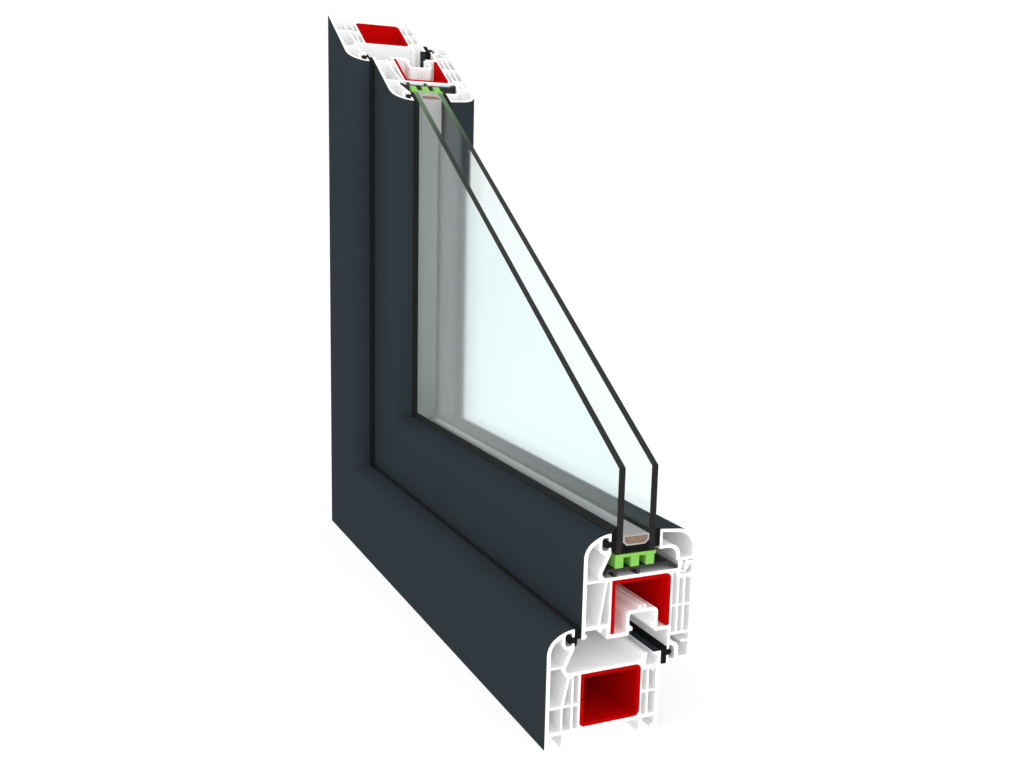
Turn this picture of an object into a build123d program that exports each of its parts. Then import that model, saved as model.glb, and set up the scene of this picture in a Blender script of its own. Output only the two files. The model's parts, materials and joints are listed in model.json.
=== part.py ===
"""Cut-away corner of a plastic window: outer frame, opening sash, double glazing.

Axes: X runs along the sill from the jamb, Y from the outdoor face to the room,
Z up from the feet of the sill.  The origin is the middle of the underside.
All dimensions in millimetres.
"""

import os
from math import atan2, cos, pi, sin, tan

from build123d import *

# ---------------------------------------------------------------- dimensions
LENGTH = 436.4        # sill, measured along X from the outside of the jamb
HEIGHT = 436.4        # jamb, measured along Z on its outer edge
DEPTH = 90.0          # outdoor face of the frame to room face of the sash
CUT_SLOPE = 0.654     # fall of the slanting saw cut per millimetre of X
SPARE = 6.0           # extra stock on the jamb, removed by the slanting cut
FILM = 0.2            # decorative film on the extrusions
STEEL_GAP = 7.0       # steel held back from the welded mitre
GLASS_EDGE = 103.8    # edge of the panes, from the outside of the frame
PACKER_LENGTH = 100.0
STILE_CUT = 366.0     # height at which the saw cut meets the side packer
NOSE_STEP = (20.0, 50.0)   # sash nose relative to the frame nose

HALF = LENGTH / 2
SIDE = DEPTH / 2

# Local axes of every section drawing: x = depth from the outdoor face,
# y = distance from the outside of the frame towards the glass.
SILL_SECTION = Plane(origin=(-HALF, -SIDE, 0), x_dir=(0, 1, 0), z_dir=(1, 0, 0))
JAMB_SECTION = Plane(
    origin=(-HALF, -SIDE, HEIGHT + SPARE), x_dir=(0, 1, 0), z_dir=(0, 0, -1)
)
MITRE = Plane(origin=(-HALF, 0, 0), x_dir=(0, 1, 0), z_dir=(1, 0, -1))
SLANT = Plane(origin=(-HALF, 0, HEIGHT), x_dir=(0, 1, 0), z_dir=(CUT_SLOPE, 0, 1))
SILL_STEEL_END = MITRE.offset(STEEL_GAP)
JAMB_STEEL_END = MITRE.offset(-STEEL_GAP)


def rounded(corners):
    """Edges of a closed outline through (x, y, radius) corners."""
    count = len(corners)
    starts, ends, middles = [], [], []
    for i, (x, y, r) in enumerate(corners):
        xa, ya, _ = corners[i - 1]
        xb, yb, _ = corners[(i + 1) % count]
        a_in = atan2(y - ya, x - xa)
        a_out = atan2(yb - y, xb - x)
        turn = (a_out - a_in + pi) % (2 * pi) - pi
        if r <= 0 or abs(turn) < 0.02:
            starts.append((x, y))
            ends.append((x, y))
            middles.append(None)
            continue
        t = r * tan(abs(turn) / 2)
        starts.append((x - t * cos(a_in), y - t * sin(a_in)))
        ends.append((x + t * cos(a_out), y + t * sin(a_out)))
        gap = r / cos(turn / 2) - r
        a_mid = atan2(sin(a_out) - sin(a_in), cos(a_out) - cos(a_in))
        middles.append((x + gap * cos(a_mid), y + gap * sin(a_mid)))
    with BuildLine() as path:
        for i in range(count):
            if middles[i] is not None:
                ThreePointArc(starts[i], middles[i], ends[i])
            Line(ends[i], starts[(i + 1) % count])
    return path.edges()


def shifted(corners, step):
    """The same corners moved by step."""
    return [(x + step[0], y + step[1], r) for x, y, r in corners]


def soft(corners, radius=0.5):
    """Plain (x, y) corners, all rounded alike."""
    return [(x, y, radius) for x, y in corners]


# ------------------------------------------------------- outlines: the nose
# Outdoor nose with the gasket groove, shared by frame and sash.
NOSE = [
    (0.0, 58.7, 10.5), (9.05, 65.8, 20.0), (15.9, 66.15, 0.4),
    (15.9, 61.7, 0.6), (14.6, 61.7, 0.5), (14.6, 64.1, 0.4),
    (10.5, 64.1, 1.8), (10.5, 56.9, 1.8), (14.6, 56.9, 0.3),
    (14.6, 58.3, 0.5), (15.9, 58.3, 0.5), (16.2, 55.2, 1.5),
    (11.0, 44.4, 1.6), (12.4, 41.7, 1.6),
]

# ------------------------------------------------------ outlines: the frame
FRAME_OUTLINE = [
    (0.0, 0.0, 0.3),
    *NOSE,
    (58.0, 41.7, 0.6), (58.0, 45.6, 0.4), (61.4, 45.6, 0.4), (61.3, 44.2, 0.6),
    (60.2, 38.3, 0.6), (67.8, 38.3, 0.6), (67.8, 43.3, 0.5), (66.3, 43.7, 0.5),
    (65.0, 44.8, 0.25), (65.0, 45.4, 0.25), (70.0, 45.4, 0.4), (70.0, 0.0, 0.3),
    (66.6, 0.0, 0.3), (65.2, 1.0, 0.3), (66.0, 3.1, 0.3), (67.2, 3.3, 0.2),
    (67.2, 7.6, 0.4), (59.3, 7.6, 0.4), (59.8, 0.0, 0.3), (56.5, 0.0, 0.25),
    (56.8, 1.8, 0.25), (57.9, 2.0, 0.2), (57.2, 7.6, 0.4), (12.3, 7.6, 0.4),
    (12.1, 2.7, 0.2), (12.9, 2.3, 0.2), (12.4, 0.0, 0.3), (9.6, 0.0, 0.3),
    (10.3, 7.6, 0.4), (2.3, 7.6, 0.4), (2.3, 4.1, 0.2), (3.0, 3.5, 0.2),
    (2.3, 0.0, 0.3),
]
FRAME_CHAMBERS = [
    [(2.3, 46.3, 0.5), (2.3, 57.58, 8.2), (6.2, 60.65, 3.0), (8.9, 62.1, 0.4),
     (8.9, 57.0, 1.2), (11.0, 55.2, 1.0), (13.4, 54.1, 0.4), (9.5, 46.3, 0.6)],
    [(2.3, 23.9, 0.5), (2.3, 45.2, 0.5), (9.2, 45.2, 0.3), (8.9, 43.9, 0.6),
     (11.2, 40.3, 1.0), (12.4, 39.3, 0.4), (9.4, 23.9, 0.5)],
    [(10.7, 23.9, 0.4), (14.0, 38.8, 0.2), (15.2, 38.8, 0.3), (15.2, 23.9, 0.4)],
    soft([(16.4, 23.9), (16.4, 39.9), (19.3, 39.9), (19.3, 23.9)]),
    soft([(2.3, 9.6), (2.3, 22.6), (9.1, 22.6), (9.1, 9.6)]),
    soft([(10.2, 9.6), (10.2, 22.6), (15.2, 22.6), (15.2, 9.6)]),
    soft([(16.4, 9.6), (16.4, 22.6), (19.3, 22.6), (19.3, 9.6)]),
    [(20.5, 9.6, 3.0), (20.5, 40.0, 0.8), (57.8, 40.0, 3.6), (57.8, 9.6, 3.4)],
    soft([(58.8, 9.6), (58.8, 22.6), (61.8, 22.6), (61.8, 9.6)]),
    soft([(63.0, 9.6), (63.0, 22.6), (67.3, 22.6), (67.3, 9.6)]),
    soft([(58.8, 23.8), (58.8, 36.0), (61.8, 36.0), (61.8, 23.8)]),
    [(63.0, 23.8, 0.5), (63.0, 36.0, 0.4), (64.5, 36.0, 0.3), (64.7, 34.5, 0.3),
     (65.8, 34.5, 0.3), (66.0, 36.0, 0.3), (67.3, 36.0, 0.4), (67.3, 23.8, 0.5)],
]
FRAME_OUTER_SKIN = [
    (-1, -1, 0), (-1, 68, 0), (16.6, 68, 0), (16.6, 63.4, 0), (15.2, 63.4, 0),
    (15.2, 65.2, 0), (9, 64.6, 0), (4.5, 61.5, 0), (1.2, 56, 0), (1.2, -1, 0),
]
FRAME_INNER_SKIN = [
    (71, -1, 0), (71, 47, 0), (65.2, 47, 0), (65.2, 44.95, 0), (69.3, 44.95, 0),
    (69.3, -1, 0),
]
FRAME_STEEL = [
    (20.5, 9.6, 3.0), (20.5, 40.0, 0.8), (57.6, 40.0, 3.6), (57.6, 9.6, 3.4),
]
FRAME_STEEL_BORE = [
    (22.7, 11.8, 1.0), (22.7, 37.8, 0.3), (55.4, 37.8, 1.5), (55.4, 11.8, 1.3),
]
FRAME_STEEL_SEAM = [(20.0, 24.9, 0), (20.0, 25.6, 0), (23.0, 25.6, 0), (23.0, 24.9, 0)]

# ------------------------------------------------------- outlines: the sash
SASH_OUTLINE = [
    (20.0, 59.5, 0.5),
    *shifted(NOSE, NOSE_STEP),
    (78.4, 91.7, 0.3), (78.4, 96.0, 0.3), (80.2, 96.0, 0.3), (81.4, 95.1, 0.4),
    (81.3, 94.2, 0.3), (80.4, 90.2, 0.3), (83.1, 90.2, 0.3), (84.9, 95.2, 0.3),
    (90.0, 95.2, 0.3), (90.0, 38.1, 0.4), (73.7, 38.1, 0.4), (73.7, 42.1, 0.4),
    (75.1, 42.1, 0.4), (75.1, 39.7, 0.3), (78.8, 39.7, 0.4), (78.8, 47.7, 3.4),
    (75.1, 47.7, 0.2), (75.1, 45.5, 0.3), (73.8, 45.5, 0.4), (73.8, 57.5, 0.4),
    (65.2, 57.5, 0.6), (65.2, 59.8, 0.2), (63.0, 59.9, 0.4), (63.0, 61.4, 0.5),
    (65.1, 62.6, 0.5), (65.1, 69.7, 1.5), (49.0, 69.7, 1.8), (49.0, 63.3, 0.5),
    (51.1, 61.9, 0.5), (51.1, 60.0, 0.4), (49.0, 59.9, 0.2), (49.0, 57.5, 0.6),
    (35.2, 57.5, 0.5), (35.2, 63.9, 0.3), (32.4, 63.9, 0.3), (32.2, 62.0, 0.5),
    (30.4, 62.0, 0.5), (30.2, 63.9, 0.3), (22.2, 63.9, 0.6), (22.0, 62.8, 0.3),
    (23.3, 61.2, 0.6), (22.7, 59.5, 0.5),
]
SASH_CHAMBERS = [
    [(22.3, 91.0, 0.5), (22.3, 107.58, 8.2), (26.2, 110.65, 3.0),
     (28.9, 112.1, 0.4), (28.9, 107.0, 1.2), (31.0, 105.2, 1.0),
     (33.4, 104.1, 0.4), (28.7, 94.6, 1.5), (29.6, 91.0, 0.4)],
    [(22.3, 66.0, 0.5), (22.3, 89.8, 0.5), (33.4, 89.8, 0.8), (29.6, 66.0, 0.5)],
    [(30.9, 66.0, 0.4), (34.7, 89.4, 0.3), (36.2, 89.4, 0.3), (36.2, 66.0, 0.4)],
    [(37.4, 59.6, 0.25), (37.4, 89.9, 0.8), (74.4, 89.9, 3.4), (74.4, 59.4, 0.4),
     (66.8, 59.4, 0.4), (66.8, 71.5, 3.0), (59.5, 71.5, 0.4), (59.0, 73.9, 0.3),
     (58.0, 73.9, 0.3), (57.8, 71.5, 0.4), (56.0, 71.5, 0.4), (55.8, 73.9, 0.3),
     (54.8, 73.9, 0.3), (54.3, 71.5, 0.4), (47.0, 71.5, 3.0), (47.0, 59.6, 0.4)],
    soft([(75.6, 54.9), (75.6, 69.9), (78.6, 69.9), (78.6, 54.9)]),
    soft([(79.8, 54.9), (79.8, 69.9), (82.6, 69.9), (82.6, 54.9)]),
    soft([(83.8, 54.9), (83.8, 69.9), (87.3, 69.9), (87.3, 54.9)]),
    [(75.6, 71.0, 0.5), (75.6, 89.7, 0.3), (77.3, 89.7, 0.3), (77.5, 88.0, 0.8),
     (78.6, 86.0, 0.8), (78.6, 71.0, 0.5)],
    soft([(79.8, 71.0), (79.8, 85.8), (82.6, 85.8), (82.6, 71.0)]),
    soft([(83.8, 71.0), (83.8, 85.8), (87.3, 85.8), (87.3, 71.0)]),
    soft([(80.0, 88.2), (80.0, 89.0), (83.4, 89.0), (86.1, 93.3), (87.3, 93.3),
          (87.3, 88.2)], 0.25),
    [(75.4, 50.6, 0.3), (75.4, 53.5, 0.4), (87.3, 53.5, 0.5), (87.3, 49.6, 0.3),
     (82.6, 49.6, 0.4), (82.6, 48.4, 0.4), (87.3, 48.4, 0.3), (87.3, 40.3, 0.5),
     (81.2, 40.3, 0.5), (81.2, 47.8, 4.0)],
]
SASH_OUTER_SKIN = [
    (19, 60.0, 0), (19, 118, 0), (36.6, 118, 0), (36.6, 113.4, 0), (35.2, 113.4, 0),
    (35.2, 115.2, 0), (29, 114.6, 0), (24.5, 111.5, 0), (21.2, 106, 0),
    (21.2, 60.0, 0),
]
SASH_INNER_SKIN = [
    (74.2, 37.5, 0), (91, 37.5, 0), (91, 95.8, 0), (88.4, 95.8, 0), (88.4, 94.6, 0),
    (89.3, 94.6, 0), (89.3, 38.9, 0), (74.2, 38.9, 0),
]
SASH_STEEL = [
    (37.4, 59.9, 0), (37.4, 89.9, 0.8), (74.2, 89.9, 3.4), (74.2, 59.9, 0),
    (71.9, 59.9, 0), (71.9, 87.6, 1.4), (39.7, 87.6, 0.3), (39.7, 59.9, 0),
]

# --------------------------------------------------- outlines: glazing bead
BEAD_OUTLINE = [
    (66.0, 104.1, 0.3), (66.0, 115.3, 0.3), (90.0, 113.1, 12.8), (90.0, 95.2, 0.3),
    (88.2, 95.2, 0.2), (88.2, 96.1, 0.2), (84.75, 96.1, 0.2), (83.15, 90.6, 0.3),
    (82.1, 90.6, 0.3), (83.6, 96.1, 0.2), (77.2, 96.1, 0.4), (77.2, 104.1, 5.5),
]
BEAD_CHAMBER = [
    (67.5, 105.7, 0.4), (67.5, 113.4, 0.4), (87.4, 111.4, 10.8), (87.4, 97.5, 0.5),
    (79.2, 97.5, 0.5), (79.2, 105.7, 6.0),
]
BEAD_SKIN = [
    (65.2, 112.5, 0), (65.2, 117, 0), (91.5, 117, 0), (91.5, 94.8, 0), (88.6, 94.8, 0),
    (88.6, 95.7, 0), (89.0, 95.7, 0), (89.0, 103, 0), (86.8, 108.4, 0), (83, 111.6, 0),
    (78, 113.3, 0), (66.6, 114.4, 0), (66.6, 112.5, 0),
]

# ------------------------------------------------------- outlines: gaskets
OUTER_FRAME_GASKET = [
    (10.8, 62.6, 1.2), (12.4, 63.9, 1.0), (14.3, 61.6, 0.3), (16.0, 61.6, 0.15),
    (16.0, 65.4, 0.2), (17.2, 65.8, 0.6), (20.0, 65.6, 0.3), (20.0, 60.3, 0.3),
    (17.7, 60.4, 0.3), (17.5, 57.6, 0.5), (16.6, 55.9, 0.2), (16.1, 57.0, 0.2),
    (16.0, 58.4, 0.2), (14.5, 58.4, 0.2), (13.6, 57.8, 0.5), (10.8, 60.5, 0.8),
]
OUTER_GLAZING_GASKET = [
    (30.8, 112.6, 1.2), (32.4, 113.9, 1.0), (34.3, 111.6, 0.3), (36.0, 111.6, 0.15),
    (36.0, 116.2, 0.2), (37.0, 117.5, 1.0), (38.4, 119.3, 0.3), (39.0, 119.5, 0.15),
    (39.0, 106.4, 0.4),
    (37.4, 105.5, 0.4), (36.3, 106.4, 0.2), (36.0, 108.4, 0.2), (34.5, 108.4, 0.2),
    (33.6, 107.8, 0.5), (30.8, 110.5, 0.8),
]
INNER_GLAZING_GASKET = [
    (63.0, 106.0, 0.6), (63.0, 115.4, 0.3), (64.6, 116.0, 0.6), (66.0, 115.4, 0.2),
    (66.0, 105.8, 0.5),
]
INNER_SASH_GASKET = [
    (70.0, 37.6, 0.8), (70.0, 45.8, 0.3), (73.75, 47.3, 0.3), (73.75, 45.4, 0.1),
    (75.15, 45.4, 0.1), (75.15, 46.2, 0.2), (77.2, 43.8, 0.8), (75.15, 41.2, 0.2),
    (75.15, 42.2, 0.1), (73.65, 42.2, 0.1), (73.65, 37.3, 0.8),
]

# -------------------------------------------------- outlines: glazing parts
OUTER_PANE = (39.0, 43.0)
INNER_PANE = (59.0, 63.0)
SPACER = [
    (43.0, 113.9, 0.3), (59.0, 113.9, 0.3), (59.0, 110.4, 0), (56.7, 108.3, 0),
    (45.3, 108.3, 0), (43.0, 110.4, 0),
]
SPACER_BORE = [
    (43.9, 113.3, 0.2), (58.1, 113.3, 0.2), (58.1, 110.8, 0), (56.3, 109.1, 0),
    (45.7, 109.1, 0), (43.9, 110.8, 0),
]
EDGE_SEAL = [
    (43.0, 104.3, 0.4), (59.0, 104.3, 0.4), (59.0, 110.4, 0), (56.7, 108.3, 0),
    (45.3, 108.3, 0), (43.0, 110.4, 0),
]
PACKER = [
    (38.8, 103.8, 0.3), (63.8, 103.8, 0.3), (63.8, 102.2, 0.3), (62.8, 102.0, 0.2),
    (62.8, 96.4, 0.2), (57.6, 96.4, 0.2), (57.6, 102.0, 0.3), (53.4, 102.0, 0.3),
    (53.4, 96.4, 0.2), (48.2, 96.4, 0.2), (48.2, 102.0, 0.3), (43.7, 102.0, 0.3),
    (43.7, 96.4, 0.2), (38.8, 96.4, 0.2),
]
BRIDGE = [
    (34.0, 96.4, 0.4), (71.5, 96.4, 2.0), (78.1, 93.6, 0.5), (78.1, 91.9, 0.5),
    (75.8, 92.1, 0.8), (72.0, 94.9, 1.0), (54.0, 94.9, 0.3), (54.0, 91.7, 0.2),
    (52.0, 91.7, 0.2), (52.0, 94.9, 0.3), (40.0, 94.9, 0.3), (40.0, 91.7, 0.2),
    (38.0, 91.7, 0.2), (38.0, 94.9, 0.3), (34.8, 94.9, 0.4), (33.0, 92.9, 0.3),
    (32.3, 93.7, 0.3),
]

os.makedirs("parts", exist_ok=True)

# ---------------------------------------------------------- section drawings
with BuildSketch() as frame_outer_film_section:
    make_face(rounded(FRAME_OUTLINE))
    offset(amount=-FILM, mode=Mode.SUBTRACT)
    make_face(rounded(FRAME_OUTER_SKIN), mode=Mode.INTERSECT)

with BuildSketch() as frame_inner_film_section:
    make_face(rounded(FRAME_OUTLINE))
    offset(amount=-FILM, mode=Mode.SUBTRACT)
    make_face(rounded(FRAME_INNER_SKIN), mode=Mode.INTERSECT)

with BuildSketch() as frame_section:
    make_face(rounded(FRAME_OUTLINE))
    for chamber in FRAME_CHAMBERS:
        make_face(rounded(chamber), mode=Mode.SUBTRACT)
    add(frame_outer_film_section.sketch, mode=Mode.SUBTRACT)
    add(frame_inner_film_section.sketch, mode=Mode.SUBTRACT)

with BuildSketch() as frame_steel_section:
    make_face(rounded(FRAME_STEEL))
    make_face(rounded(FRAME_STEEL_BORE), mode=Mode.SUBTRACT)
    make_face(rounded(FRAME_STEEL_SEAM), mode=Mode.SUBTRACT)

with BuildSketch() as sash_outer_film_section:
    make_face(rounded(SASH_OUTLINE))
    offset(amount=-FILM, mode=Mode.SUBTRACT)
    make_face(rounded(SASH_OUTER_SKIN), mode=Mode.INTERSECT)

with BuildSketch() as sash_inner_film_section:
    make_face(rounded(SASH_OUTLINE))
    offset(amount=-FILM, mode=Mode.SUBTRACT)
    make_face(rounded(SASH_INNER_SKIN), mode=Mode.INTERSECT)

with BuildSketch() as sash_section:
    make_face(rounded(SASH_OUTLINE))
    for chamber in SASH_CHAMBERS:
        make_face(rounded(chamber), mode=Mode.SUBTRACT)
    add(sash_outer_film_section.sketch, mode=Mode.SUBTRACT)
    add(sash_inner_film_section.sketch, mode=Mode.SUBTRACT)

with BuildSketch() as sash_steel_section:
    make_face(rounded(SASH_STEEL))

with BuildSketch() as bead_film_section:
    make_face(rounded(BEAD_OUTLINE))
    offset(amount=-FILM, mode=Mode.SUBTRACT)
    make_face(rounded(BEAD_SKIN), mode=Mode.INTERSECT)

with BuildSketch() as bead_section:
    make_face(rounded(BEAD_OUTLINE))
    make_face(rounded(BEAD_CHAMBER), mode=Mode.SUBTRACT)
    add(bead_film_section.sketch, mode=Mode.SUBTRACT)

with BuildSketch() as spacer_section:
    make_face(rounded(SPACER))
    make_face(rounded(SPACER_BORE), mode=Mode.SUBTRACT)

# ------------------------------------------------------------ outer frame
with BuildPart() as frame_sill_profile:
    with BuildSketch(SILL_SECTION):
        add(frame_section.sketch)
    extrude(amount=LENGTH)
    split(bisect_by=MITRE, keep=Keep.TOP)
frame_sill_profile.part.label = "frame_sill_profile"
export_step(frame_sill_profile.part, "parts/frame_sill_profile.step")

with BuildPart() as frame_jamb_profile:
    with BuildSketch(JAMB_SECTION):
        add(frame_section.sketch)
    extrude(amount=HEIGHT + SPARE)
    split(bisect_by=MITRE, keep=Keep.BOTTOM)
    split(bisect_by=SLANT, keep=Keep.BOTTOM)
frame_jamb_profile.part.label = "frame_jamb_profile"
export_step(frame_jamb_profile.part, "parts/frame_jamb_profile.step")

with BuildPart() as frame_sill_outer_film:
    with BuildSketch(SILL_SECTION):
        add(frame_outer_film_section.sketch)
    extrude(amount=LENGTH)
    split(bisect_by=MITRE, keep=Keep.TOP)
frame_sill_outer_film.part.label = "frame_sill_outer_film"
export_step(frame_sill_outer_film.part, "parts/frame_sill_outer_film.step")

with BuildPart() as frame_jamb_outer_film:
    with BuildSketch(JAMB_SECTION):
        add(frame_outer_film_section.sketch)
    extrude(amount=HEIGHT + SPARE)
    split(bisect_by=MITRE, keep=Keep.BOTTOM)
    split(bisect_by=SLANT, keep=Keep.BOTTOM)
frame_jamb_outer_film.part.label = "frame_jamb_outer_film"
export_step(frame_jamb_outer_film.part, "parts/frame_jamb_outer_film.step")

with BuildPart() as frame_sill_inner_film:
    with BuildSketch(SILL_SECTION):
        add(frame_inner_film_section.sketch)
    extrude(amount=LENGTH)
    split(bisect_by=MITRE, keep=Keep.TOP)
frame_sill_inner_film.part.label = "frame_sill_inner_film"
export_step(frame_sill_inner_film.part, "parts/frame_sill_inner_film.step")

with BuildPart() as frame_jamb_inner_film:
    with BuildSketch(JAMB_SECTION):
        add(frame_inner_film_section.sketch)
    extrude(amount=HEIGHT + SPARE)
    split(bisect_by=MITRE, keep=Keep.BOTTOM)
    split(bisect_by=SLANT, keep=Keep.BOTTOM)
frame_jamb_inner_film.part.label = "frame_jamb_inner_film"
export_step(frame_jamb_inner_film.part, "parts/frame_jamb_inner_film.step")

with BuildPart() as frame_sill_steel:
    with BuildSketch(SILL_SECTION):
        add(frame_steel_section.sketch)
    extrude(amount=LENGTH)
    split(bisect_by=SILL_STEEL_END, keep=Keep.TOP)
frame_sill_steel.part.label = "frame_sill_steel"
export_step(frame_sill_steel.part, "parts/frame_sill_steel.step")

with BuildPart() as frame_jamb_steel:
    with BuildSketch(JAMB_SECTION):
        add(frame_steel_section.sketch)
    extrude(amount=HEIGHT + SPARE)
    split(bisect_by=JAMB_STEEL_END, keep=Keep.BOTTOM)
    split(bisect_by=SLANT, keep=Keep.BOTTOM)
frame_jamb_steel.part.label = "frame_jamb_steel"
export_step(frame_jamb_steel.part, "parts/frame_jamb_steel.step")

# ------------------------------------------------------------------- sash
with BuildPart() as sash_rail_profile:
    with BuildSketch(SILL_SECTION):
        add(sash_section.sketch)
    extrude(amount=LENGTH)
    split(bisect_by=MITRE, keep=Keep.TOP)
sash_rail_profile.part.label = "sash_rail_profile"
export_step(sash_rail_profile.part, "parts/sash_rail_profile.step")

with BuildPart() as sash_stile_profile:
    with BuildSketch(JAMB_SECTION):
        add(sash_section.sketch)
    extrude(amount=HEIGHT + SPARE)
    split(bisect_by=MITRE, keep=Keep.BOTTOM)
    split(bisect_by=SLANT, keep=Keep.BOTTOM)
sash_stile_profile.part.label = "sash_stile_profile"
export_step(sash_stile_profile.part, "parts/sash_stile_profile.step")

with BuildPart() as sash_rail_outer_film:
    with BuildSketch(SILL_SECTION):
        add(sash_outer_film_section.sketch)
    extrude(amount=LENGTH)
    split(bisect_by=MITRE, keep=Keep.TOP)
sash_rail_outer_film.part.label = "sash_rail_outer_film"
export_step(sash_rail_outer_film.part, "parts/sash_rail_outer_film.step")

with BuildPart() as sash_stile_outer_film:
    with BuildSketch(JAMB_SECTION):
        add(sash_outer_film_section.sketch)
    extrude(amount=HEIGHT + SPARE)
    split(bisect_by=MITRE, keep=Keep.BOTTOM)
    split(bisect_by=SLANT, keep=Keep.BOTTOM)
sash_stile_outer_film.part.label = "sash_stile_outer_film"
export_step(sash_stile_outer_film.part, "parts/sash_stile_outer_film.step")

with BuildPart() as sash_rail_inner_film:
    with BuildSketch(SILL_SECTION):
        add(sash_inner_film_section.sketch)
    extrude(amount=LENGTH)
    split(bisect_by=MITRE, keep=Keep.TOP)
sash_rail_inner_film.part.label = "sash_rail_inner_film"
export_step(sash_rail_inner_film.part, "parts/sash_rail_inner_film.step")

with BuildPart() as sash_stile_inner_film:
    with BuildSketch(JAMB_SECTION):
        add(sash_inner_film_section.sketch)
    extrude(amount=HEIGHT + SPARE)
    split(bisect_by=MITRE, keep=Keep.BOTTOM)
    split(bisect_by=SLANT, keep=Keep.BOTTOM)
sash_stile_inner_film.part.label = "sash_stile_inner_film"
export_step(sash_stile_inner_film.part, "parts/sash_stile_inner_film.step")

with BuildPart() as sash_rail_steel:
    with BuildSketch(SILL_SECTION):
        add(sash_steel_section.sketch)
    extrude(amount=LENGTH)
    split(bisect_by=SILL_STEEL_END, keep=Keep.TOP)
sash_rail_steel.part.label = "sash_rail_steel"
export_step(sash_rail_steel.part, "parts/sash_rail_steel.step")

with BuildPart() as sash_stile_steel:
    with BuildSketch(JAMB_SECTION):
        add(sash_steel_section.sketch)
    extrude(amount=HEIGHT + SPARE)
    split(bisect_by=JAMB_STEEL_END, keep=Keep.BOTTOM)
    split(bisect_by=SLANT, keep=Keep.BOTTOM)
sash_stile_steel.part.label = "sash_stile_steel"
export_step(sash_stile_steel.part, "parts/sash_stile_steel.step")

# ----------------------------------------------------------- glazing beads
with BuildPart() as bead_rail:
    with BuildSketch(SILL_SECTION):
        add(bead_section.sketch)
    extrude(amount=LENGTH)
    split(bisect_by=MITRE, keep=Keep.TOP)
bead_rail.part.label = "bead_rail"
export_step(bead_rail.part, "parts/bead_rail.step")

with BuildPart() as bead_stile:
    with BuildSketch(JAMB_SECTION):
        add(bead_section.sketch)
    extrude(amount=HEIGHT + SPARE)
    split(bisect_by=MITRE, keep=Keep.BOTTOM)
    split(bisect_by=SLANT, keep=Keep.BOTTOM)
bead_stile.part.label = "bead_stile"
export_step(bead_stile.part, "parts/bead_stile.step")

with BuildPart() as bead_rail_film:
    with BuildSketch(SILL_SECTION):
        add(bead_film_section.sketch)
    extrude(amount=LENGTH)
    split(bisect_by=MITRE, keep=Keep.TOP)
bead_rail_film.part.label = "bead_rail_film"
export_step(bead_rail_film.part, "parts/bead_rail_film.step")

with BuildPart() as bead_stile_film:
    with BuildSketch(JAMB_SECTION):
        add(bead_film_section.sketch)
    extrude(amount=HEIGHT + SPARE)
    split(bisect_by=MITRE, keep=Keep.BOTTOM)
    split(bisect_by=SLANT, keep=Keep.BOTTOM)
bead_stile_film.part.label = "bead_stile_film"
export_step(bead_stile_film.part, "parts/bead_stile_film.step")

# ---------------------------------------------------------------- gaskets
with BuildPart() as outer_frame_gasket_sill:
    with BuildSketch(SILL_SECTION):
        make_face(rounded(OUTER_FRAME_GASKET))
    extrude(amount=LENGTH)
    split(bisect_by=MITRE, keep=Keep.TOP)
outer_frame_gasket_sill.part.label = "outer_frame_gasket_sill"
export_step(outer_frame_gasket_sill.part, "parts/outer_frame_gasket_sill.step")

with BuildPart() as outer_frame_gasket_jamb:
    with BuildSketch(JAMB_SECTION):
        make_face(rounded(OUTER_FRAME_GASKET))
    extrude(amount=HEIGHT + SPARE)
    split(bisect_by=MITRE, keep=Keep.BOTTOM)
    split(bisect_by=SLANT, keep=Keep.BOTTOM)
outer_frame_gasket_jamb.part.label = "outer_frame_gasket_jamb"
export_step(outer_frame_gasket_jamb.part, "parts/outer_frame_gasket_jamb.step")

with BuildPart() as inner_sash_gasket_rail:
    with BuildSketch(SILL_SECTION):
        make_face(rounded(INNER_SASH_GASKET))
    extrude(amount=LENGTH)
    split(bisect_by=MITRE, keep=Keep.TOP)
inner_sash_gasket_rail.part.label = "inner_sash_gasket_rail"
export_step(inner_sash_gasket_rail.part, "parts/inner_sash_gasket_rail.step")

with BuildPart() as inner_sash_gasket_stile:
    with BuildSketch(JAMB_SECTION):
        make_face(rounded(INNER_SASH_GASKET))
    extrude(amount=HEIGHT + SPARE)
    split(bisect_by=MITRE, keep=Keep.BOTTOM)
    split(bisect_by=SLANT, keep=Keep.BOTTOM)
inner_sash_gasket_stile.part.label = "inner_sash_gasket_stile"
export_step(inner_sash_gasket_stile.part, "parts/inner_sash_gasket_stile.step")

with BuildPart() as outer_glazing_gasket_rail:
    with BuildSketch(SILL_SECTION):
        make_face(rounded(OUTER_GLAZING_GASKET))
    extrude(amount=LENGTH)
    split(bisect_by=MITRE, keep=Keep.TOP)
outer_glazing_gasket_rail.part.label = "outer_glazing_gasket_rail"
export_step(outer_glazing_gasket_rail.part, "parts/outer_glazing_gasket_rail.step")

with BuildPart() as outer_glazing_gasket_stile:
    with BuildSketch(JAMB_SECTION):
        make_face(rounded(OUTER_GLAZING_GASKET))
    extrude(amount=HEIGHT + SPARE)
    split(bisect_by=MITRE, keep=Keep.BOTTOM)
    split(bisect_by=SLANT, keep=Keep.BOTTOM)
outer_glazing_gasket_stile.part.label = "outer_glazing_gasket_stile"
export_step(outer_glazing_gasket_stile.part, "parts/outer_glazing_gasket_stile.step")

with BuildPart() as inner_glazing_gasket_rail:
    with BuildSketch(SILL_SECTION):
        make_face(rounded(INNER_GLAZING_GASKET))
    extrude(amount=LENGTH)
    split(bisect_by=MITRE, keep=Keep.TOP)
inner_glazing_gasket_rail.part.label = "inner_glazing_gasket_rail"
export_step(inner_glazing_gasket_rail.part, "parts/inner_glazing_gasket_rail.step")

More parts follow.
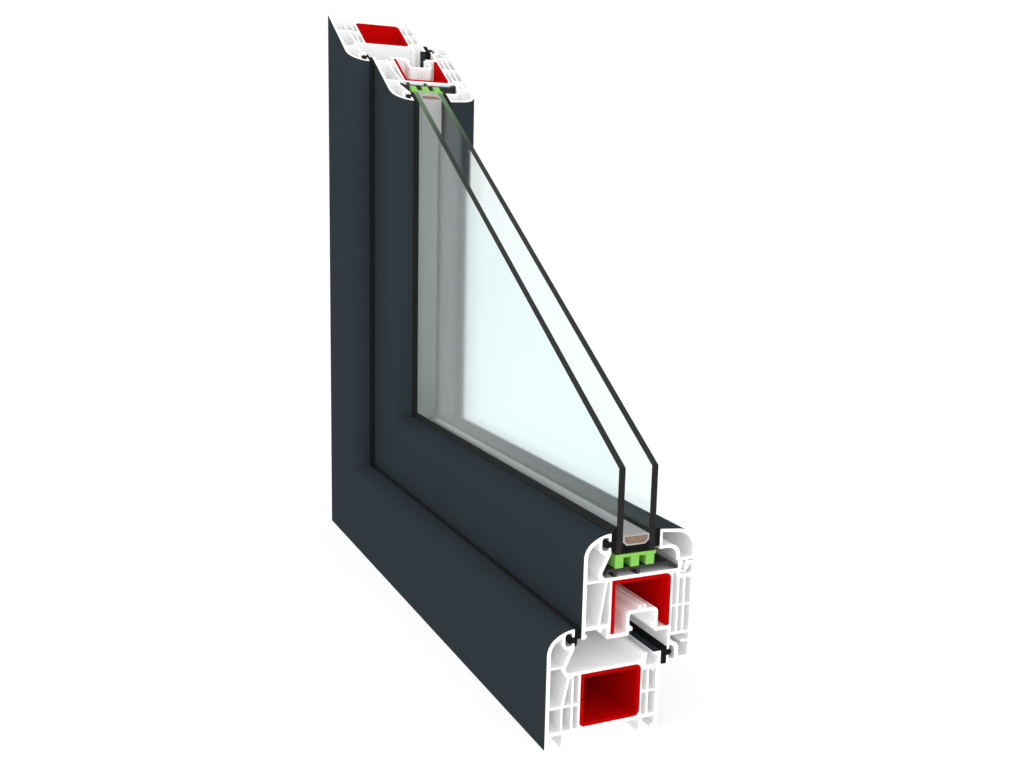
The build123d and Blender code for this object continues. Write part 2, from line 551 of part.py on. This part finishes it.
with BuildPart() as inner_glazing_gasket_stile:
    with BuildSketch(JAMB_SECTION):
        make_face(rounded(INNER_GLAZING_GASKET))
    extrude(amount=HEIGHT + SPARE)
    split(bisect_by=MITRE, keep=Keep.BOTTOM)
    split(bisect_by=SLANT, keep=Keep.BOTTOM)
inner_glazing_gasket_stile.part.label = "inner_glazing_gasket_stile"
export_step(inner_glazing_gasket_stile.part, "parts/inner_glazing_gasket_stile.step")

# ------------------------------------------------------------ double glazing
PANE_FACE = Plane(origin=(-HALF, -SIDE, 0), x_dir=(1, 0, 0), z_dir=(0, -1, 0))

with BuildPart() as glass_outer_pane:
    with BuildSketch(PANE_FACE.offset(-OUTER_PANE[1])):
        with Locations((GLASS_EDGE, GLASS_EDGE)):
            Rectangle(LENGTH - GLASS_EDGE, HEIGHT - GLASS_EDGE, align=(Align.MIN, Align.MIN))
    extrude(amount=OUTER_PANE[1] - OUTER_PANE[0])
    split(bisect_by=SLANT, keep=Keep.BOTTOM)
glass_outer_pane.part.label = "glass_outer_pane"
export_step(glass_outer_pane.part, "parts/glass_outer_pane.step")

with BuildPart() as glass_inner_pane:
    with BuildSketch(PANE_FACE.offset(-INNER_PANE[1])):
        with Locations((GLASS_EDGE, GLASS_EDGE)):
            Rectangle(LENGTH - GLASS_EDGE, HEIGHT - GLASS_EDGE, align=(Align.MIN, Align.MIN))
    extrude(amount=INNER_PANE[1] - INNER_PANE[0])
    split(bisect_by=SLANT, keep=Keep.BOTTOM)
glass_inner_pane.part.label = "glass_inner_pane"
export_step(glass_inner_pane.part, "parts/glass_inner_pane.step")

with BuildPart() as spacer_rail:
    with BuildSketch(SILL_SECTION):
        add(spacer_section.sketch)
    extrude(amount=LENGTH)
    split(bisect_by=MITRE, keep=Keep.TOP)
spacer_rail.part.label = "spacer_rail"
export_step(spacer_rail.part, "parts/spacer_rail.step")

with BuildPart() as spacer_stile:
    with BuildSketch(JAMB_SECTION):
        add(spacer_section.sketch)
    extrude(amount=HEIGHT + SPARE)
    split(bisect_by=MITRE, keep=Keep.BOTTOM)
    split(bisect_by=SLANT, keep=Keep.BOTTOM)
spacer_stile.part.label = "spacer_stile"
export_step(spacer_stile.part, "parts/spacer_stile.step")

with BuildPart() as desiccant_rail:
    with BuildSketch(SILL_SECTION):
        make_face(rounded(SPACER_BORE))
    extrude(amount=LENGTH)
    split(bisect_by=MITRE, keep=Keep.TOP)
desiccant_rail.part.label = "desiccant_rail"
export_step(desiccant_rail.part, "parts/desiccant_rail.step")

with BuildPart() as desiccant_stile:
    with BuildSketch(JAMB_SECTION):
        make_face(rounded(SPACER_BORE))
    extrude(amount=HEIGHT + SPARE)
    split(bisect_by=MITRE, keep=Keep.BOTTOM)
    split(bisect_by=SLANT, keep=Keep.BOTTOM)
desiccant_stile.part.label = "desiccant_stile"
export_step(desiccant_stile.part, "parts/desiccant_stile.step")

with BuildPart() as edge_seal_rail:
    with BuildSketch(SILL_SECTION):
        make_face(rounded(EDGE_SEAL))
    extrude(amount=LENGTH)
    split(bisect_by=MITRE, keep=Keep.TOP)
edge_seal_rail.part.label = "edge_seal_rail"
export_step(edge_seal_rail.part, "parts/edge_seal_rail.step")

with BuildPart() as edge_seal_stile:
    with BuildSketch(JAMB_SECTION):
        make_face(rounded(EDGE_SEAL))
    extrude(amount=HEIGHT + SPARE)
    split(bisect_by=MITRE, keep=Keep.BOTTOM)
    split(bisect_by=SLANT, keep=Keep.BOTTOM)
edge_seal_stile.part.label = "edge_seal_stile"
export_step(edge_seal_stile.part, "parts/edge_seal_stile.step")

# ------------------------------------------------------ packers and bridges
with BuildPart() as packer_rail:
    with BuildSketch(SILL_SECTION.offset(LENGTH - PACKER_LENGTH)):
        make_face(rounded(PACKER))
    extrude(amount=PACKER_LENGTH)
packer_rail.part.label = "packer_rail"
export_step(packer_rail.part, "parts/packer_rail.step")

with BuildPart() as packer_stile:
    with BuildSketch(JAMB_SECTION):
        make_face(rounded(PACKER))
    extrude(amount=HEIGHT + SPARE - (STILE_CUT - PACKER_LENGTH))
    split(bisect_by=SLANT, keep=Keep.BOTTOM)
packer_stile.part.label = "packer_stile"
export_step(packer_stile.part, "parts/packer_stile.step")

with BuildPart() as bridge_rail:
    with BuildSketch(SILL_SECTION.offset(LENGTH - PACKER_LENGTH)):
        make_face(rounded(BRIDGE))
    extrude(amount=PACKER_LENGTH)
bridge_rail.part.label = "bridge_rail"
export_step(bridge_rail.part, "parts/bridge_rail.step")

with BuildPart() as bridge_stile:
    with BuildSketch(JAMB_SECTION):
        make_face(rounded(BRIDGE))
    extrude(amount=HEIGHT + SPARE - (STILE_CUT - PACKER_LENGTH))
    split(bisect_by=SLANT, keep=Keep.BOTTOM)
bridge_stile.part.label = "bridge_stile"
export_step(bridge_stile.part, "parts/bridge_stile.step")
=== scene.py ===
import json
import math
import bpy
import bmesh
from mathutils import Matrix, Vector


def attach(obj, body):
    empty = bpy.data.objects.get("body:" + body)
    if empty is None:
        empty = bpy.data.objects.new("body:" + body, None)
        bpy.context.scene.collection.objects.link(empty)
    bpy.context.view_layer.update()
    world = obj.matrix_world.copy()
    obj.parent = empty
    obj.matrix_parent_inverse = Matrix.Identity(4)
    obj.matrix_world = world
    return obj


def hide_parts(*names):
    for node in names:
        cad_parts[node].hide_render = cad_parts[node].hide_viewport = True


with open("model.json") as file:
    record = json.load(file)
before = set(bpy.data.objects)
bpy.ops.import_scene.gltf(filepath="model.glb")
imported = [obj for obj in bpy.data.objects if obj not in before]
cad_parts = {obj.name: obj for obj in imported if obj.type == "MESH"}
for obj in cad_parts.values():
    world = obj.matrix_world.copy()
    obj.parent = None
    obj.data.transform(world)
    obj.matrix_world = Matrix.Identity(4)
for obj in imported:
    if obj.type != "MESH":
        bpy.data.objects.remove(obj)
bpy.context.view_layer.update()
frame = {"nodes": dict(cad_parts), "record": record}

NODES = frame["nodes"]
scene = bpy.context.scene

# ---------------------------------------------------------------- camera
YAW, PITCH, ROLL = (math.radians(a) for a in (24.51, 9.84, 1.26))
forward = Vector((-math.cos(YAW) * math.cos(PITCH), math.sin(YAW) * math.cos(PITCH), -math.sin(PITCH)))
right = Vector((math.sin(YAW), math.cos(YAW), 0.0))
up = right.cross(forward)
cam_x = math.cos(ROLL) * right + math.sin(ROLL) * up
cam_y = -math.sin(ROLL) * right + math.cos(ROLL) * up
cam_data = bpy.data.cameras.new("camera")
cam_data.sensor_fit = "HORIZONTAL"
cam_data.sensor_width = 36.0
cam_data.lens = 36.0 * 1052.1 / 1024.0
cam_data.clip_start = 0.01
cam_data.clip_end = 200.0
cam = bpy.data.objects.new("camera", cam_data)
scene.collection.objects.link(cam)
place = Matrix((cam_x, cam_y, -forward)).transposed().to_4x4()
place.translation = Vector((0.67873, -0.27845, 0.28667))
cam.matrix_world = place
scene.camera = cam


# ---------------------------------------------------------------- node helpers
class Mat:
    """A material with one Principled shader and short calls for its nodes."""

    def __init__(self, name):
        self.mat = bpy.data.materials.new(name)
        self.mat.use_nodes = True
        self.tree = self.mat.node_tree
        self.tree.nodes.clear()
        self.out = self.add("ShaderNodeOutputMaterial")
        self.bsdf = self.add("ShaderNodeBsdfPrincipled")
        self.link(self.bsdf.outputs[0], self.out.inputs["Surface"])
        self.coord = self.add("ShaderNodeTexCoord")

    def add(self, kind, **props):
        node = self.tree.nodes.new(kind)
        for key, value in props.items():
            setattr(node, key, value)
        return node

    def link(self, a, b):
        self.tree.links.new(a, b)

    def set(self, **values):
        for key, value in values.items():
            self.bsdf.inputs[key.replace("_", " ")].default_value = value

    def stretched(self, scale):
        """Part coordinates, scaled along each axis."""
        node = self.add("ShaderNodeMapping")
        node.inputs["Scale"].default_value = scale
        self.link(self.coord.outputs["Object"], node.inputs["Vector"])
        return node.outputs[0]

    def noise(self, vector, scale, detail=3.0, rough=0.55):
        node = self.add("ShaderNodeTexNoise")
        node.inputs["Scale"].default_value = scale
        node.inputs["Detail"].default_value = detail
        node.inputs["Roughness"].default_value = rough
        self.link(vector, node.inputs["Vector"])
        return node.outputs["Fac"]

    def voronoi(self, vector, scale, feature="F1", output="Distance"):
        node = self.add("ShaderNodeTexVoronoi", feature=feature)
        node.inputs["Scale"].default_value = scale
        self.link(vector, node.inputs["Vector"])
        return node.outputs[output]

    def ramp(self, fac, stops):
        node = self.add("ShaderNodeValToRGB")
        ramp = node.color_ramp
        while len(ramp.elements) < len(stops):
            ramp.elements.new(0.5)
        for element, (at, colour) in zip(ramp.elements, stops):
            element.position = at
            element.color = (*colour, 1.0)
        self.link(fac, node.inputs["Fac"])
        return node.outputs["Color"]

    def span(self, value, lo, hi, from_lo=0.0, from_hi=1.0):
        node = self.add("ShaderNodeMapRange")
        for key, number in zip(("From Min", "From Max", "To Min", "To Max"), (from_lo, from_hi, lo, hi)):
            node.inputs[key].default_value = number
        self.link(value, node.inputs["Value"])
        return node.outputs["Result"]

    def math(self, kind, a, b=None):
        node = self.add("ShaderNodeMath", operation=kind)
        for socket, value in zip(node.inputs, (a, b)):
            if value is None:
                continue
            if isinstance(value, (int, float)):
                socket.default_value = value
            else:
                self.link(value, socket)
        return node.outputs[0]

    def facing(self, direction, limit):
        """1 on faces whose outward normal is within a small angle of direction."""
        node = self.add("ShaderNodeVectorMath", operation="DOT_PRODUCT")
        node.inputs[1].default_value = direction
        self.link(self.coord.outputs["Normal"], node.inputs[0])
        return self.math("GREATER_THAN", node.outputs["Value"], limit)

    def cut(self, along):
        """1 on the sawn end of a length that runs along x, square, or along z, slanting."""
        return self.facing(SQUARE_CUT if along == "x" else SLANT_CUT, 0.999)

    def sawn(self, tone, along):
        """A noise spread over 0.55 to 1 on the long faces and over 0 to 0.45 on the sawn end."""
        return self.math("SUBTRACT", self.span(tone, 0.55, 1.0, 0.3, 0.7), self.math("MULTIPLY", self.cut(along), 0.55))

    def box(self, spans):
        """1 inside a box in part coordinates: (axis, low, high) for each side that is bounded."""
        split = self.add("ShaderNodeSeparateXYZ")
        self.link(self.coord.outputs["Object"], split.inputs[0])
        inside = None
        for axis, low, high in spans:
            at = split.outputs[axis]
            side = self.math("MULTIPLY", self.math("GREATER_THAN", at, low), self.math("LESS_THAN", at, high))
            inside = side if inside is None else self.math("MULTIPLY", inside, side)
        return inside

    def colour(self, socket):
        self.link(socket, self.bsdf.inputs["Base Color"])

    def roughness(self, socket):
        self.link(socket, self.bsdf.inputs["Roughness"])

    def bump(self, height, depth, strength=1.0):
        node = self.add("ShaderNodeBump")
        node.inputs["Strength"].default_value = strength
        node.inputs["Distance"].default_value = depth
        self.link(height, node.inputs["Height"])
        self.link(node.outputs[0], self.bsdf.inputs["Normal"])
        return node


# the two saw cuts: square across the rail, slanting across the jamb and glass
SQUARE_CUT = (1.0, 0.0, 0.0)
slope = 0.654
SLANT_CUT = (slope / math.hypot(1.0, slope), 0.0, 1.0 / math.hypot(1.0, slope))


def film(along):
    """Anthracite decorative film: matt, with a fine embossed grain along the length, pale where sawn."""
    m = Mat("anthracite_film_" + along)
    m.set(Specular_IOR_Level=0.001)
    long = (60.0, 900.0, 900.0) if along == "x" else (900.0, 900.0, 60.0)
    grain = m.noise(m.stretched(long), 1.0, 4.0, 0.6)
    pebble = m.noise(m.coord.outputs["Object"], 2600.0, 2.0, 0.5)
    cloud = m.noise(m.coord.outputs["Object"], 14.0, 3.0, 0.5)
    tone = m.math("ADD", m.math("MULTIPLY", grain, 0.35), m.math("MULTIPLY", cloud, 0.65))
    m.colour(m.ramp(m.math("MAXIMUM", m.math("MULTIPLY", tone, 0.8), m.cut(along)), [
        (0.24, (0.0241, 0.0323, 0.0381)), (0.56, (0.0256, 0.0341, 0.0402)),
        (0.90, (0.0256, 0.0341, 0.0402)), (0.96, (0.90, 0.90, 0.90))]))
    m.roughness(m.span(grain, 0.42, 0.60, 0.3, 0.7))
    m.bump(m.math("ADD", grain, m.math("MULTIPLY", pebble, 0.6)), 0.00002, 0.3)
    return m.mat


def pvc(along, low, high):
    """White extruded plastic with saw marks on the cut faces. Painted shade: the long faces, mostly chamber walls, are
    painted a little darker than the sawn ends. On the rail and sill, painted light lifts the deep recess between frame
    and sash and the channel above it to near white, and painted shade dulls the bottom 6 mm.
    """
    m = Mat("white_pvc_" + along)
    m.set(Specular_IOR_Level=0.15)
    obj = m.coord.outputs["Object"]
    tone = m.sawn(m.noise(obj, 22.0, 3.0, 0.5), along)
    if along == "x":
        # painted light on the deep recess between frame and sash and the channel above it; painted shade on the bottom
        # 6 mm
        rebate_painted_light = m.box((("Y", -0.029, 0.0145), ("Z", 0.0405, 0.0572)))
        groove_painted_light = m.box((("Y", -0.006, 0.0270), ("Z", 0.0572, 0.0975)))
        feet_painted_shade = m.box((("Z", -0.001, 0.0062),))
        painted_light_and_shade_step = m.math("ADD", m.math("MULTIPLY", m.math("MAXIMUM", rebate_painted_light, groove_painted_light), 0.5), m.math("MULTIPLY", feet_painted_shade, 0.25))
        painted_light_and_shade_shift = m.math("MULTIPLY", painted_light_and_shade_step, m.math("GREATER_THAN", tone, 0.5))
    else:
        painted_light_and_shade_shift = 0.0
    # painted shade: long faces darker than the sawn ends; the steps above add the painted light and shade
    m.colour(m.ramp(m.math("ADD", m.math("MULTIPLY", tone, 0.45), painted_light_and_shade_shift), [
        (0.0, (0.910, 0.910, 0.908)), (0.2025, (0.925, 0.925, 0.924)),
        (0.2475, (low, low, low * 0.998)), (0.45, (high, high, high * 0.999)),
        (0.4975, (0.755, 0.755, 0.753)), (0.70, (0.785, 0.785, 0.783)),
        (0.7475, (0.965, 0.965, 0.964)), (0.95, (0.976, 0.976, 0.975))]))
    m.roughness(m.span(m.noise(obj, 160.0, 3.0, 0.55), 0.34, 0.52, 0.3, 0.7))
    saw = m.add("ShaderNodeTexWave", wave_type="RINGS", rings_direction="SPHERICAL")
    saw.inputs["Scale"].default_value = 150.0
    saw.inputs["Distortion"].default_value = 1.5
    saw.inputs["Detail"].default_value = 2.0
    away = m.add("ShaderNodeMapping")
    away.inputs["Location"].default_value = (0.0, 0.30, 0.10)
    m.link(obj, away.inputs["Vector"])
    m.link(away.outputs[0], saw.inputs["Vector"])
    marks = m.math("MULTIPLY", saw.outputs["Fac"], m.cut(along))
    skin = m.noise(obj, 900.0, 2.0, 0.5)
    m.bump(m.math("ADD", m.math("MULTIPLY", marks, 0.5), m.math("MULTIPLY", skin, 0.3)), 0.00002, 0.5)
    return m.mat


def steel(name, along, low, high):
    """Red coated steel with a slight orange-peel surface; the long faces are painted lighter than the sawn end, as
    painted light inside the bore.
    """
    m = Mat(name + "_" + along)
    m.set(Specular_IOR_Level=0.002)
    obj = m.coord.outputs["Object"]
    tone = m.sawn(m.noise(obj, 60.0, 3.0, 0.5), along)
    # painted light: walls from low to high, well above the sawn end's 0.39 to 0.42
    m.colour(m.ramp(tone, [
        (0.0, (0.392, 0.0010, 0.0009)), (0.45, (0.423, 0.0013, 0.0012)),
        (0.55, (low, 0.0012, 0.0011)), (1.0, (high, 0.0017, 0.0015))]))
    m.roughness(m.span(m.noise(obj, 300.0, 2.0, 0.5), 0.30, 0.46, 0.3, 0.7))
    m.bump(m.noise(obj, 700.0, 2.0, 0.5), 0.00003, 0.5)
    return m.mat


def gasket(name, along, low, high):
    """Black seal rubber, black where sawn; the long faces take the given tone, which on the rail and jamb copies is
    painted lighter, as painted light in the gap lines.
    """
    m = Mat(name + "_" + along)
    m.set(Specular_IOR_Level=0.05)
    obj = m.coord.outputs["Object"]
    m.colour(m.ramp(m.sawn(m.noise(obj, 120.0, 3.0, 0.5), along), [
        (0.0, (0.0046, 0.0046, 0.0046)), (0.45, (0.0069, 0.0069, 0.0069)),
        (0.55, (low * 0.95, low, low)), (1.0, (high * 0.95, high, high))]))
    m.roughness(m.span(m.noise(obj, 700.0, 2.0, 0.5), 0.50, 0.70, 0.3, 0.7))
    m.bump(m.noise(obj, 1500.0, 2.0, 0.5), 0.00002, 0.5)
    return m.mat


def sealant(name, low, high):
    """Sealant in the edge of the double glazing, black at the bottom and grey at the side."""
    m = Mat(name)
    m.set(Specular_IOR_Level=0.05)
    obj = m.coord.outputs["Object"]
    m.colour(m.ramp(m.noise(obj, 300.0, 3.0, 0.5), [(0.3, (low, low, low)), (0.7, (high, high, high))]))
    m.roughness(m.span(m.noise(obj, 500.0, 2.0, 0.5), 0.45, 0.65, 0.3, 0.7))
    m.bump(m.noise(obj, 400.0, 3.0, 0.5), 0.00006, 0.6)
    return m.mat


def aluminium():
    """Mill-finish aluminium, drawn along its length."""
    m = Mat("spacer_aluminium")
    m.set(Metallic=1.0)
    lines = m.noise(m.stretched((80.0, 2400.0, 2400.0)), 1.0, 3.0, 0.5)
    m.colour(m.ramp(lines, [(0.3, (0.472, 0.466, 0.464)), (0.7, (0.546, 0.540, 0.536))]))
    m.roughness(m.span(lines, 0.62, 0.78, 0.3, 0.7))
    m.bump(lines, 0.00002, 0.4)
    return m.mat


def grains():
    """Brown drying-agent grains packed in the spacer."""
    m = Mat("drying_agent")
    m.set(Specular_IOR_Level=0.2)
    obj = m.coord.outputs["Object"]
    cells = m.voronoi(obj, 2200.0, "F1", "Color")
    edge = m.voronoi(obj, 2200.0, "F1", "Distance")
    split = m.add("ShaderNodeSeparateColor")
    m.link(cells, split.inputs[0])
    m.colour(m.ramp(split.outputs[0], [(0.0, (0.144, 0.093, 0.064)), (0.5, (0.212, 0.141, 0.100)), (1.0, (0.288, 0.202, 0.151))]))
    m.roughness(m.span(split.outputs[1], 0.65, 0.90))
    m.bump(m.span(edge, 1.0, 0.0), 0.0002, 0.7)
    return m.mat


def packer():
    """Green moulded packer."""
    m = Mat("green_packer")
    m.set(Specular_IOR_Level=0.3)
    obj = m.coord.outputs["Object"]
    m.colour(m.ramp(m.noise(obj, 90.0, 3.0, 0.5), [(0.3, (0.180, 0.463, 0.068)), (0.7, (0.201, 0.504, 0.081))]))
    m.roughness(m.span(m.noise(obj, 400.0, 2.0, 0.5), 0.40, 0.58, 0.3, 0.7))
    m.bump(m.noise(obj, 900.0, 2.0, 0.5), 0.00003, 0.5)
    return m.mat


def bridge():
    """Black moulded packer bridge."""
    m = Mat("black_bridge")
    m.set(Specular_IOR_Level=0.3)
    obj = m.coord.outputs["Object"]
    m.colour(m.ramp(m.noise(obj, 90.0, 3.0, 0.5), [(0.3, (0.0132, 0.0132, 0.0132)), (0.7, (0.0192, 0.0192, 0.0192))]))
    m.roughness(m.span(m.noise(obj, 400.0, 2.0, 0.5), 0.42, 0.60, 0.3, 0.7))
    m.bump(m.noise(obj, 900.0, 2.0, 0.5), 0.00003, 0.5)
    return m.mat


def glass():
    """Clear float glass."""
    m = Mat("clear_glass")
    m.set(Transmission_Weight=1.0, IOR=1.34, Specular_Tint=(0.92, 1.0, 0.985, 1.0))
    obj = m.coord.outputs["Object"]
    m.colour(m.ramp(m.noise(obj, 6.0, 2.0, 0.5), [(0.3, (0.880, 0.957, 0.954)), (0.7, (0.888, 0.961, 0.958))]))
    m.roughness(m.span(m.noise(obj, 30.0, 2.0, 0.5), 0.062, 0.072, 0.3, 0.7))
    return m.mat


def glass_edge():
    """The sawn and ground edge of a pane: dark, with a painted green glow of the packers seen through the glass,
    growing towards the top.
    """
    m = Mat("glass_edge")
    m.set(Specular_IOR_Level=0.08)
    obj = m.coord.outputs["Object"]
    height = m.add("ShaderNodeSeparateXYZ")
    m.link(obj, height.inputs[0])
    # painted light: green from the packers seen through the glass, painted in by height towards the top
    packer_glow_painted = m.span(height.outputs["Z"], 0.0, 0.8, 0.325, 0.368)
    grain = m.span(m.noise(obj, 300.0, 3.0, 0.5), 0.0, 0.1, 0.3, 0.7)
    sawn = m.math("MULTIPLY", m.facing(SLANT_CUT, 0.95), 0.1)
    m.colour(m.ramp(m.math("ADD", m.math("ADD", packer_glow_painted, grain), sawn), [
        (0.0, (0.0123, 0.0127, 0.0123)), (0.1, (0.0168, 0.0173, 0.0171)),
        (0.2, (0.0228, 0.0238, 0.0233)), (1.0, (0.1045, 0.1955, 0.091))]))
    m.roughness(m.span(m.noise(obj, 900.0, 2.0, 0.5), 0.25, 0.45, 0.3, 0.7))
    m.bump(m.noise(obj, 1400.0, 2.0, 0.5), 0.00003, 0.5)
    return m.mat


# ---------------------------------------------------------------- materials on the pieces
MATS = {
    "spacer_aluminium": aluminium(), "drying_agent": grains(), "green_packer": packer(), "black_bridge": bridge(),
    "edge_sealant": sealant("edge_sealant", 0.0035, 0.0053), "grey_sealant": sealant("grey_sealant", 0.325, 0.378),
}
for way in "xz":
    # painted shade: long faces darker than the sawn ends, darker still on the jamb and stile
    MATS["white_pvc", way] = pvc(way, *((0.868, 0.884) if way == "x" else (0.805, 0.825)))
    MATS["anthracite_film", way] = film(way)
    # lit and shaded copies of one red steel: the sash's walls painted lighter, the frame's walls painted darker as
    # painted shade
    MATS["red_steel", way] = steel("red_steel", way, 0.560, 0.594)
    MATS["red_steel_box", way] = steel("red_steel_box", way, *((0.488, 0.518) if way == "x" else (0.490, 0.520)))
    # painted light: the rail's gaskets painted lightest, the jamb's a little less; the room-side gasket keeps the sawn
    # black
    MATS["black_gasket", way] = gasket("black_gasket", way, *((0.0119, 0.0158) if way == "x" else (0.0102, 0.0135)))
    MATS["black_gasket_room", way] = gasket("black_gasket_room", way, 0.0046, 0.0064)
GLASS, GLASS_EDGE = glass(), glass_edge()

for part in frame["record"]["subparts"]:
    node, slot = part["node"], part["material_slot"]
    obj = NODES[node]
    if slot == "clear_glass":
        continue
    look = slot
    if node.startswith("inner_sash"):
        look = "black_gasket_room"
    # the frame's steel takes the copy painted darker, as painted shade
    elif slot == "red_steel" and node.startswith("frame"):
        look = "red_steel_box"
    upright = "jamb" in node or "stile" in node
    mat = MATS[look] if look in MATS else MATS[look, "z" if upright else "x"]
    if not obj.material_slots:
        obj.data.materials.append(mat)
    for s in obj.material_slots:
        s.material = mat


# ---------------------------------------------------------------- panes with ground edges
def pane(node):
    """The pane again, with a small arris along every edge and the edge faces ground."""
    bm = bmesh.new()
    bm.from_mesh(NODES[node].data)
    bmesh.ops.remove_doubles(bm, verts=bm.verts, dist=1e-6)
    bmesh.ops.dissolve_limit(bm, angle_limit=math.radians(1.0), verts=bm.verts, edges=bm.edges)
    bmesh.ops.bevel(bm, geom=list(bm.edges), offset=0.00025, segments=1, affect="EDGES", profile=0.5)
    bmesh.ops.recalc_face_normals(bm, faces=bm.faces)
    for f in bm.faces:
        f.material_index = 0 if abs(f.normal.y) > 0.99 else 1
        f.smooth = False
    mesh = bpy.data.meshes.new(node + "_ground")
    bm.to_mesh(mesh)
    bm.free()
    mesh.materials.append(GLASS)
    mesh.materials.append(GLASS_EDGE)
    obj = bpy.data.objects.new(node + "_ground", mesh)
    scene.collection.objects.link(obj)
    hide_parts(node)
    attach(obj, "root")
    obj.visible_shadow = False
    return obj


for node in ("glass_outer_pane", "glass_inner_pane"):
    pane(node)


# ---------------------------------------------------------------- floor and light
bm = bmesh.new()
bmesh.ops.create_circle(bm, cap_ends=True, segments=96, radius=60.0)
floor_mesh = bpy.data.meshes.new("floor")
bm.to_mesh(floor_mesh)
bm.free()
floor = bpy.data.objects.new("floor", floor_mesh)
scene.collection.objects.link(floor)
fm = Mat("floor")
fm.colour(fm.ramp(fm.noise(fm.coord.outputs["Object"], 3.0, 2.0, 0.5), [(0.3, (0.295, 0.295, 0.295)), (0.7, (0.305, 0.305, 0.305))]))
fm.set(Roughness=0.9, Specular_IOR_Level=0.0, Emission_Color=(1.0, 1.0, 1.0, 1.0), Emission_Strength=0.745)
floor_mesh.materials.append(fm.mat)

world = bpy.data.worlds.new("studio")
scene.world = world
world.use_nodes = True
world.node_tree.nodes["Background"].inputs["Color"].default_value = (1.0, 1.0, 1.0, 1.0)
world.node_tree.nodes["Background"].inputs["Strength"].default_value = 1.03


def softbox(name, where, target, size, power):
    data = bpy.data.lights.new(name, "AREA")
    data.shape = "DISK"
    data.size = size
    data.energy = power
    lamp = bpy.data.objects.new(name, data)
    scene.collection.objects.link(lamp)
    lamp.location = where
    lamp.rotation_mode = "QUATERNION"
    lamp.rotation_quaternion = (Vector(target) - Vector(where)).to_track_quat("-Z", "Y")
    return lamp


softbox("key", (2.2, -0.9, 0.70), (0.1, 0.0, 0.12), 1.0, 15.0)
softbox("top", (0.2, -0.9, 2.2), (0.1, 0.0, 0.12), 1.6, 8.0)
scene.cycles.max_bounces = 24
scene.cycles.diffuse_bounces = 16

scene.view_settings.view_transform = "Standard"
scene.view_settings.look = "None"
scene.view_settings.exposure = 0.0
scene.view_settings.gamma = 1.0
